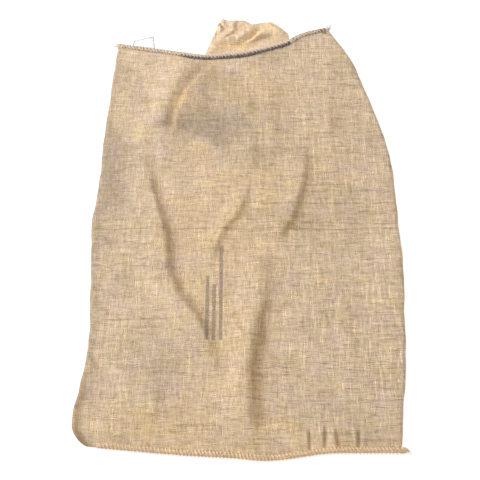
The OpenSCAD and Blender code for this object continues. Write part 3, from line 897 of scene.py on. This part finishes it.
def overlock(name, mats, height_at, rng):
    """Light thread whipped over the hem's edge, with the chain that runs along the edge."""
    slide, inward, up = smooth_route(LOOP, 26).T
    tubes = []
    count = loop_count()
    for k in range(count):
        u = mix(*HEM_ENDS, (k + 0.5 + rng.normal(0, 0.06)) / count)
        depth, lean = rng.uniform(0.92, 1.08), rng.uniform(0.7, 1.2)
        thick = mix(0.90, 1.15, float(smoothstep(0.15, 0.35, u)))
        # two strands: one stops on the roll, the other runs on across the needle line
        for side, reach, size in ((-0.5, 0.62, 1.0), (0.5, 1.15, 0.72)):
            far = np.where(up > 0, reach, 1.0)
            path = hem_point(np.full(len(slide), u), slide * lean * HEM_PITCH + side * 1.7 * MM,
                             inward * depth * far * MM, height_at(u) + (up + 0.5 * (up > 0)) * MM)
            tubes.append((path, thick * size * rng.uniform(0.9, 1.1) * MM))
    t = np.linspace(*HEM_ENDS, count * 8)
    wave = np.sin(np.linspace(0, count * 2 * math.pi, len(t)))
    for shift in (0, 1):
        path = hem_point(t, 0, (-1.0 + 0.6 * np.roll(wave, 4 * shift)) * MM,
                         height_at(t) + (1.2 - 1.6 * shift + 0.6 * wave[::-1]) * MM)
        tubes.append((path, 0.5 * MM))
    piece = tubes_object(name, tubes, mats["light"], sides=7)
    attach(piece, "mouth_end")
    return piece


def loop_count():
    """How many overlock loops fit along the mouth."""
    left, right = (hem_point(u, 0, 0, 0) for u in HEM_ENDS)
    return int(np.linalg.norm(right - left) / HEM_PITCH)


def hem_top(inward):
    """Height of the hem's upper surface above its middle, and of the cloth just below it."""
    off = (inward - HEM_HALF_W) / HEM_HALF_W
    return HEM_HALF_H * np.sqrt(np.clip(1 - off**2, 0.04, 1))


def hem_strand(u, slide, inward, lift):
    """A strand that lies across the front hem at u, lifted off its surface."""
    return hem_point(np.full(len(inward), u), slide, inward, hem_height(u) + hem_top(inward) + lift)


def make_needle_thread(mats, rng):
    """Dark thread under the loops: packed into a band in the middle, one stitch in each gap beside it."""
    tubes = []
    count = loop_count()
    t = np.linspace(0, 1, 8)
    for k in range(1, 3 * count):
        u = mix(*HEM_ENDS, (k / 3 + rng.normal(0, 0.05)) / count)
        packed = float(smoothstep(0.26, 0.40, u) * smoothstep(0.83, 0.79, u))
        if k % 3 and packed < 0.2:
            continue
        # where a stitch starts, how far in it runs and its radius, on each side of the band
        start, deep, thick = (7.0, 3.0, 0.75) if u < 0.5 else (1.0, 9.0, 1.1)
        start = mix(start, 6.8, packed)
        deep = mix(deep, 7.2 + 1.2 * math.sin(24 * u), packed) * rng.uniform(0.85, 1.15)
        radius = mix(thick, 1.25, packed) * rng.uniform(0.9, 1.15) * MM
        lift = 0.75 * radius * np.sin(math.pi * np.clip(t, 0.1, 0.9)) ** 0.5
        tubes.append((hem_strand(u, (1.6 - 3.6 * t) * MM, (start + deep * t) * MM, lift), radius))
        if packed < 0.2:    # a short dark strand on the roll as well
            tubes.append((hem_strand(u, (0.5 - 1.2 * t) * MM, (1.5 + 3.0 * t) * MM, 0.3 * MM), 0.4 * MM))
    # the stitches that lock the right corner
    t = np.linspace(0, 1, 10)
    for u, slide in ((0.968, 5.0), (0.982, 3.0), (0.985, -6.0)):
        tubes.append((hem_strand(u, slide * (t - 0.5) * MM, (2.0 + 14.0 * t) * MM, 0.9 * MM), 0.9 * MM))
    piece = tubes_object("dark_needle_thread", tubes, mats["dark"])
    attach(piece, "mouth_end")
    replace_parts(piece, "front_needle_thread")


def hem_roll(name, mats, height_at):
    """The rolled cloth of one hem."""
    u = np.linspace(0.004, 0.996, 240)
    middle = hem_point(u, 0, np.full(u.shape, HEM_HALF_W), height_at(u))
    piece = band_object(name, middle, HEM_HALF_W, HEM_HALF_H, mats["clean"])
    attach(piece, "mouth_end")
    return piece


def make_hems(mats):
    rng = np.random.default_rng(7)
    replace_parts(hem_roll("front_hem_roll", mats, hem_height), "front_mouth_hem")
    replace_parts(hem_roll("back_hem_roll", mats, back_hem_height), "back_hem_left", "back_hem_right")
    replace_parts(overlock("front_overlock", mats, hem_height, rng), "front_overlock_loops")
    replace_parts(overlock("back_overlock", mats, back_hem_height, rng), "back_overlock_loops")
    make_needle_thread(mats, rng)
    make_corner_tufts(mats, rng)


def make_corner_tufts(mats, rng):
    """The tails of overlock thread at both mouth corners."""
    s = np.linspace(0, 1, 9)[:, None]
    angle = np.linspace(0, 2 * math.pi, 14)
    turn = np.stack([0.3 * np.sin(angle), 4.6 * np.cos(angle), 7.2 * np.sin(angle)], 1) * MM
    for name, u, way, node in (("left_corner_tuft", 0.0, -1, "left_corner_tack"),
                               ("right_corner_tuft", 1.0, 1, "right_corner_tack")):
        root = hem_point(u, 0, 5 * MM, 0.0)
        tubes = []
        for _ in range(22):
            start = root + rng.normal(0, 1, 3) * (1.5 * MM, 1.5 * MM, 0)
            start[2] = rng.uniform(3, 14) * MM
            away = np.array([way * rng.uniform(0.1, 1.0), rng.uniform(0.1, 1.2), rng.uniform(-0.2, 0.25)])
            tail = start + s * away * rng.uniform(5, 13) * MM + s**2 * rng.normal(0, 1, 3) * 3 * MM
            tail[:, 2] = np.maximum(tail[:, 2], LOWEST_Z)
            tubes.append((tail, rng.uniform(0.5, 0.9) * MM))
        # turns of thread that close the front and back hems together
        for k in range(6):
            tubes.append((root + np.array([way * (0.5 - 0.9 * k), 0, 9]) * MM + turn, 0.7 * MM))
        piece = tubes_object(name, tubes, mats["light"])
        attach(piece, "mouth_end")
        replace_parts(piece, node)


# ---- back lip

# Folds of the lip, in the same form as the front face's; "right" is towards the sack
LIP_FOLDS = [
    # the long valley from the left edge along the hem and up to the right
    ([(-85, 465), (-55, 462), (-20, 458), (5, 473), (27, 492), (58, 522)],
     [(0, -4, 7, 6), (-14, 5, 12, 9), (13, 5, 7, 12)]),
    # the folded top left corner
    ([(-60, 530), (-54, 518), (-47, 508)], [(0, -3.5, 4, 3), (-6, 2, 5, 4), (7, 3, 5, 8)]),
    ([(-48, 480), (-34, 490), (-18, 500)], [(0, -3, 3, 3), (6, 2.5, 4, 8), (-6, 2, 8, 4)]),
    ([(-18, 460), (24, 470), (50, 482), (80, 490)], [(0, -3, 3, 4), (-7, 2.5, 6, 5)]),
    ([(60, 530), (90, 512), (112, 500)], [(4, 3, 5, 10)]),
    ([(-10, 540), (-18, 518), (-12, 500)], [(0, -2, 4, 4), (8, 2, 5, 8)]),
]


def lip_outline(t):
    """The lip's far edge, from left to right."""
    s = t * (len(LIP_X) - 1)
    x, y = curve(LIP_X, s), LIP_REACH / MM * curve(LIP_Y, s)
    y += 5 * hump(x, -52, 8, 8) - 5 * hump(x, 24, 14, 14)
    return x * MM, CORNER_Y + y * MM


def lip_relief(x, y):
    """Crumpling of the lip in metres, how yellow it is, and how much painted shade lies in its valleys at
    each point.
    """
    relief = noise_at(x, y, 0.035, 51.0, 3) * 2.4 * MM + noise_at(x, y, 0.012, 52.0, 2) * 0.7 * MM
    relief -= 1.6 * MM * np.exp(-(noise_at(x, y, 0.040, 53.0, 2) / 0.07) ** 2)
    warm, crease = np.zeros((2, *x.shape))
    for i, (humps, distance, fade) in enumerate(along_folds(LIP_FOLDS, x, y, 0.2, 0.8)):
        for offset, height, left, right in humps:
            shape = fade * hump(distance, offset, left, right)
            relief += 1.3 * height * MM * shape
            # valleys, where the height is below zero, get painted shade
            if height < 0:
                crease = np.maximum(crease, shape * (0.15 if i == 0 else 0.45))
                warm = np.maximum(warm, shape * (i == 0))   # only the long valley is yellow
    return relief, warm, crease


def hinge_line(name):
    """A point on a hinge, the direction along it and the level direction away from the sack."""
    along = Vector(joints[name]["axis"]).normalized()
    return Vector(joints[name]["pos_m"]), along, Vector((-along.y, along.x, 0))


def make_lip(mats):
    """The back face's loose lip: crumpled cloth whose far edge is folded under."""
    across = np.linspace(0.02, 0.98, 110)
    edge_x, edge_y = lip_outline(across)
    root_x, root_y = mix(-104, 124, across) * MM, CORNER_Y + mix(-42, 8, across) * MM
    hem_x, hem_y = mix(-58, 78, across) * MM, CORNER_Y + mix(16, 44, across) * MM
    # the layer that shows, from under the mouth hem out to the rim
    rim = 4.5 * MM
    out = np.linspace(0, 1, 56)[:, None]
    x, y = mix(root_x, edge_x, out), mix(root_y, edge_y, out)
    relief, warm, crease = lip_relief(x, y)
    middle = smoothstep(0, 0.12, across) * smoothstep(1, 0.84, across)
    loose = mix(9 * MM, 14 * MM + relief, middle)
    top = mix(7.5 * MM, loose, smoothstep(0.05, 0.45, out))
    rounding = np.sqrt(np.clip(1 - np.clip((out - 0.9) / 0.1, 0, 1) ** 2, 0, 1))
    z = mix(rim, np.maximum(top, 7 * MM), rounding)
    # the layer folded under, back to the lip's own hem, with its own stretch of weave past the rim
    under = np.linspace(0.08, 1, 14)[:, None]
    under_x, under_y = mix(edge_x, hem_x, under), mix(edge_y, hem_y, under)
    under_z = mix(rim, LOWEST_Z, np.clip(under * 5, 0, 1) ** 0.5) + 0 * under_x
    flat_y = np.concatenate([y, 2 * (CORNER_Y + LIP_REACH) - under_y])
    x, y, z, warm, crease = (np.concatenate(pair) for pair in (
        (x, under_x), (y, under_y), (z, under_z), (warm, 0 * under_x), (crease, 0 * under_x)))
    # crease carries the painted shade of the lip's valleys
    piece = grid_object("back_lip_cloth", x, y, z, mats["clean"], {"warm": warm, "crease": crease},
                        uv=(x + 0.3, flat_y))
    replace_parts(piece, "lip_panel", "lip_fold", "lip_turn_under")
    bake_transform(piece)


# ---- label

LABEL_W = 0.058         # the clear label along its hinge line
LABEL_ROOT_L = 0.012    # how far its root reaches in from there


def film_object(name, mats, s, t, slide, out_by, lift):
    """Film slid along the label's hinge, out from it and lifted above it, with its own flat coordinates."""
    hinge, along, out = hinge_line("label_lift")
    x, y, z = (hinge[k] + along[k] * slide + out[k] * out_by for k in range(3))
    return grid_object(name, x, y, z + lift, mats["film"], uv=(s, t))


def make_label(mats):
    """The clear tag: its root is caught at the back hem, and the rest stands up a little, creased."""
    s, t = np.meshgrid(np.linspace(0, 1, 30), np.linspace(0, 1, 18))
    # the film narrows from its hinge line and is longer on its right
    slide = mix(mix(-LABEL_W / 2, LABEL_W / 2, s), mix(-0.026, 0.020, s), t)
    out_by = t * mix(0.012, 0.031, s)
    lift = 4 * MM * t**1.5 + 0.9 * MM * np.sin(9 * s + 2 * t) * t
    film = film_object("label_clear_film", mats, s - 0.5, t, slide, out_by, lift)
    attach(film, "label")
    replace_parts(film, "label_film")
    s, t = np.meshgrid(np.linspace(-0.5, 0.5, 30), np.linspace(-1, 0, 8))
    tab = film_object("label_root_film", mats, s, t, s * LABEL_W, t * LABEL_ROOT_L, -1.2 * MM * t**2)
    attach(tab, "mouth_end")
    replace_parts(tab, "label_tab")


# ---- stage, lights and camera

def make_stage():
    bpy.ops.mesh.primitive_plane_add(size=12, location=(0, 0, -0.0005))
    floor = bpy.context.object
    floor.name = "floor"
    n = Nodes("floor_paper")
    grain = n.noise(n.in_space(), 3, 2)
    n.surface({"Base Color": n.mix(grain, (0.50, 0.50, 0.50, 1), (0.52, 0.52, 0.52, 1)), "Roughness": 0.9,
               "Emission Color": (1, 1, 1, 1), "Emission Strength": 0.62})
    floor.data.materials.append(n.material)


def area_light(name, place, size, power):
    data = bpy.data.lights.new(name, "AREA")
    data.shape = "RECTANGLE"
    data.size = data.size_y = size
    data.energy = power
    lamp = add_object(name, data)
    lamp.location = place
    lamp.rotation_euler = (-Vector(place)).to_track_quat("-Z", "Y").to_euler()


def make_lights():
    area_light("window", (-2.6, 0.5, 1.3), 1.2, 88)
    area_light("ceiling", (0.2, 0.2, 3.2), 3.0, 40)
    world = bpy.data.worlds.new("studio")
    world.use_nodes = True
    background = world.node_tree.nodes["Background"]
    background.inputs["Color"].default_value = (1.0, 1.0, 1.0, 1)
    background.inputs["Strength"].default_value = 0.50
    scene.world = world
    scene.view_settings.view_transform = "Standard"


CAMERA_TILT = math.radians(20)      # away from straight down, towards the sack's foot
CAMERA_FAR = 1.575
CAMERA_AIM = Vector((-0.008, -0.0575, 0))
CAMERA_LENS = 51.75


def make_camera():
    data = bpy.data.cameras.new("camera")
    data.lens = CAMERA_LENS
    data.sensor_width = 36
    camera = add_object("camera", data)
    camera.location = CAMERA_AIM + CAMERA_FAR * Vector((0, -math.sin(CAMERA_TILT), math.cos(CAMERA_TILT)))
    camera.rotation_euler = (CAMERA_TILT, 0, 0)
    scene.camera = camera


make_camera()
make_lights()
make_stage()
mats = materials()
for make in (make_front_cloth, make_back_cloth, make_turn_ins, make_allowance, make_bottom_seam,
             make_hems, make_lip, make_label, finish_cad_nodes):
    make(mats)
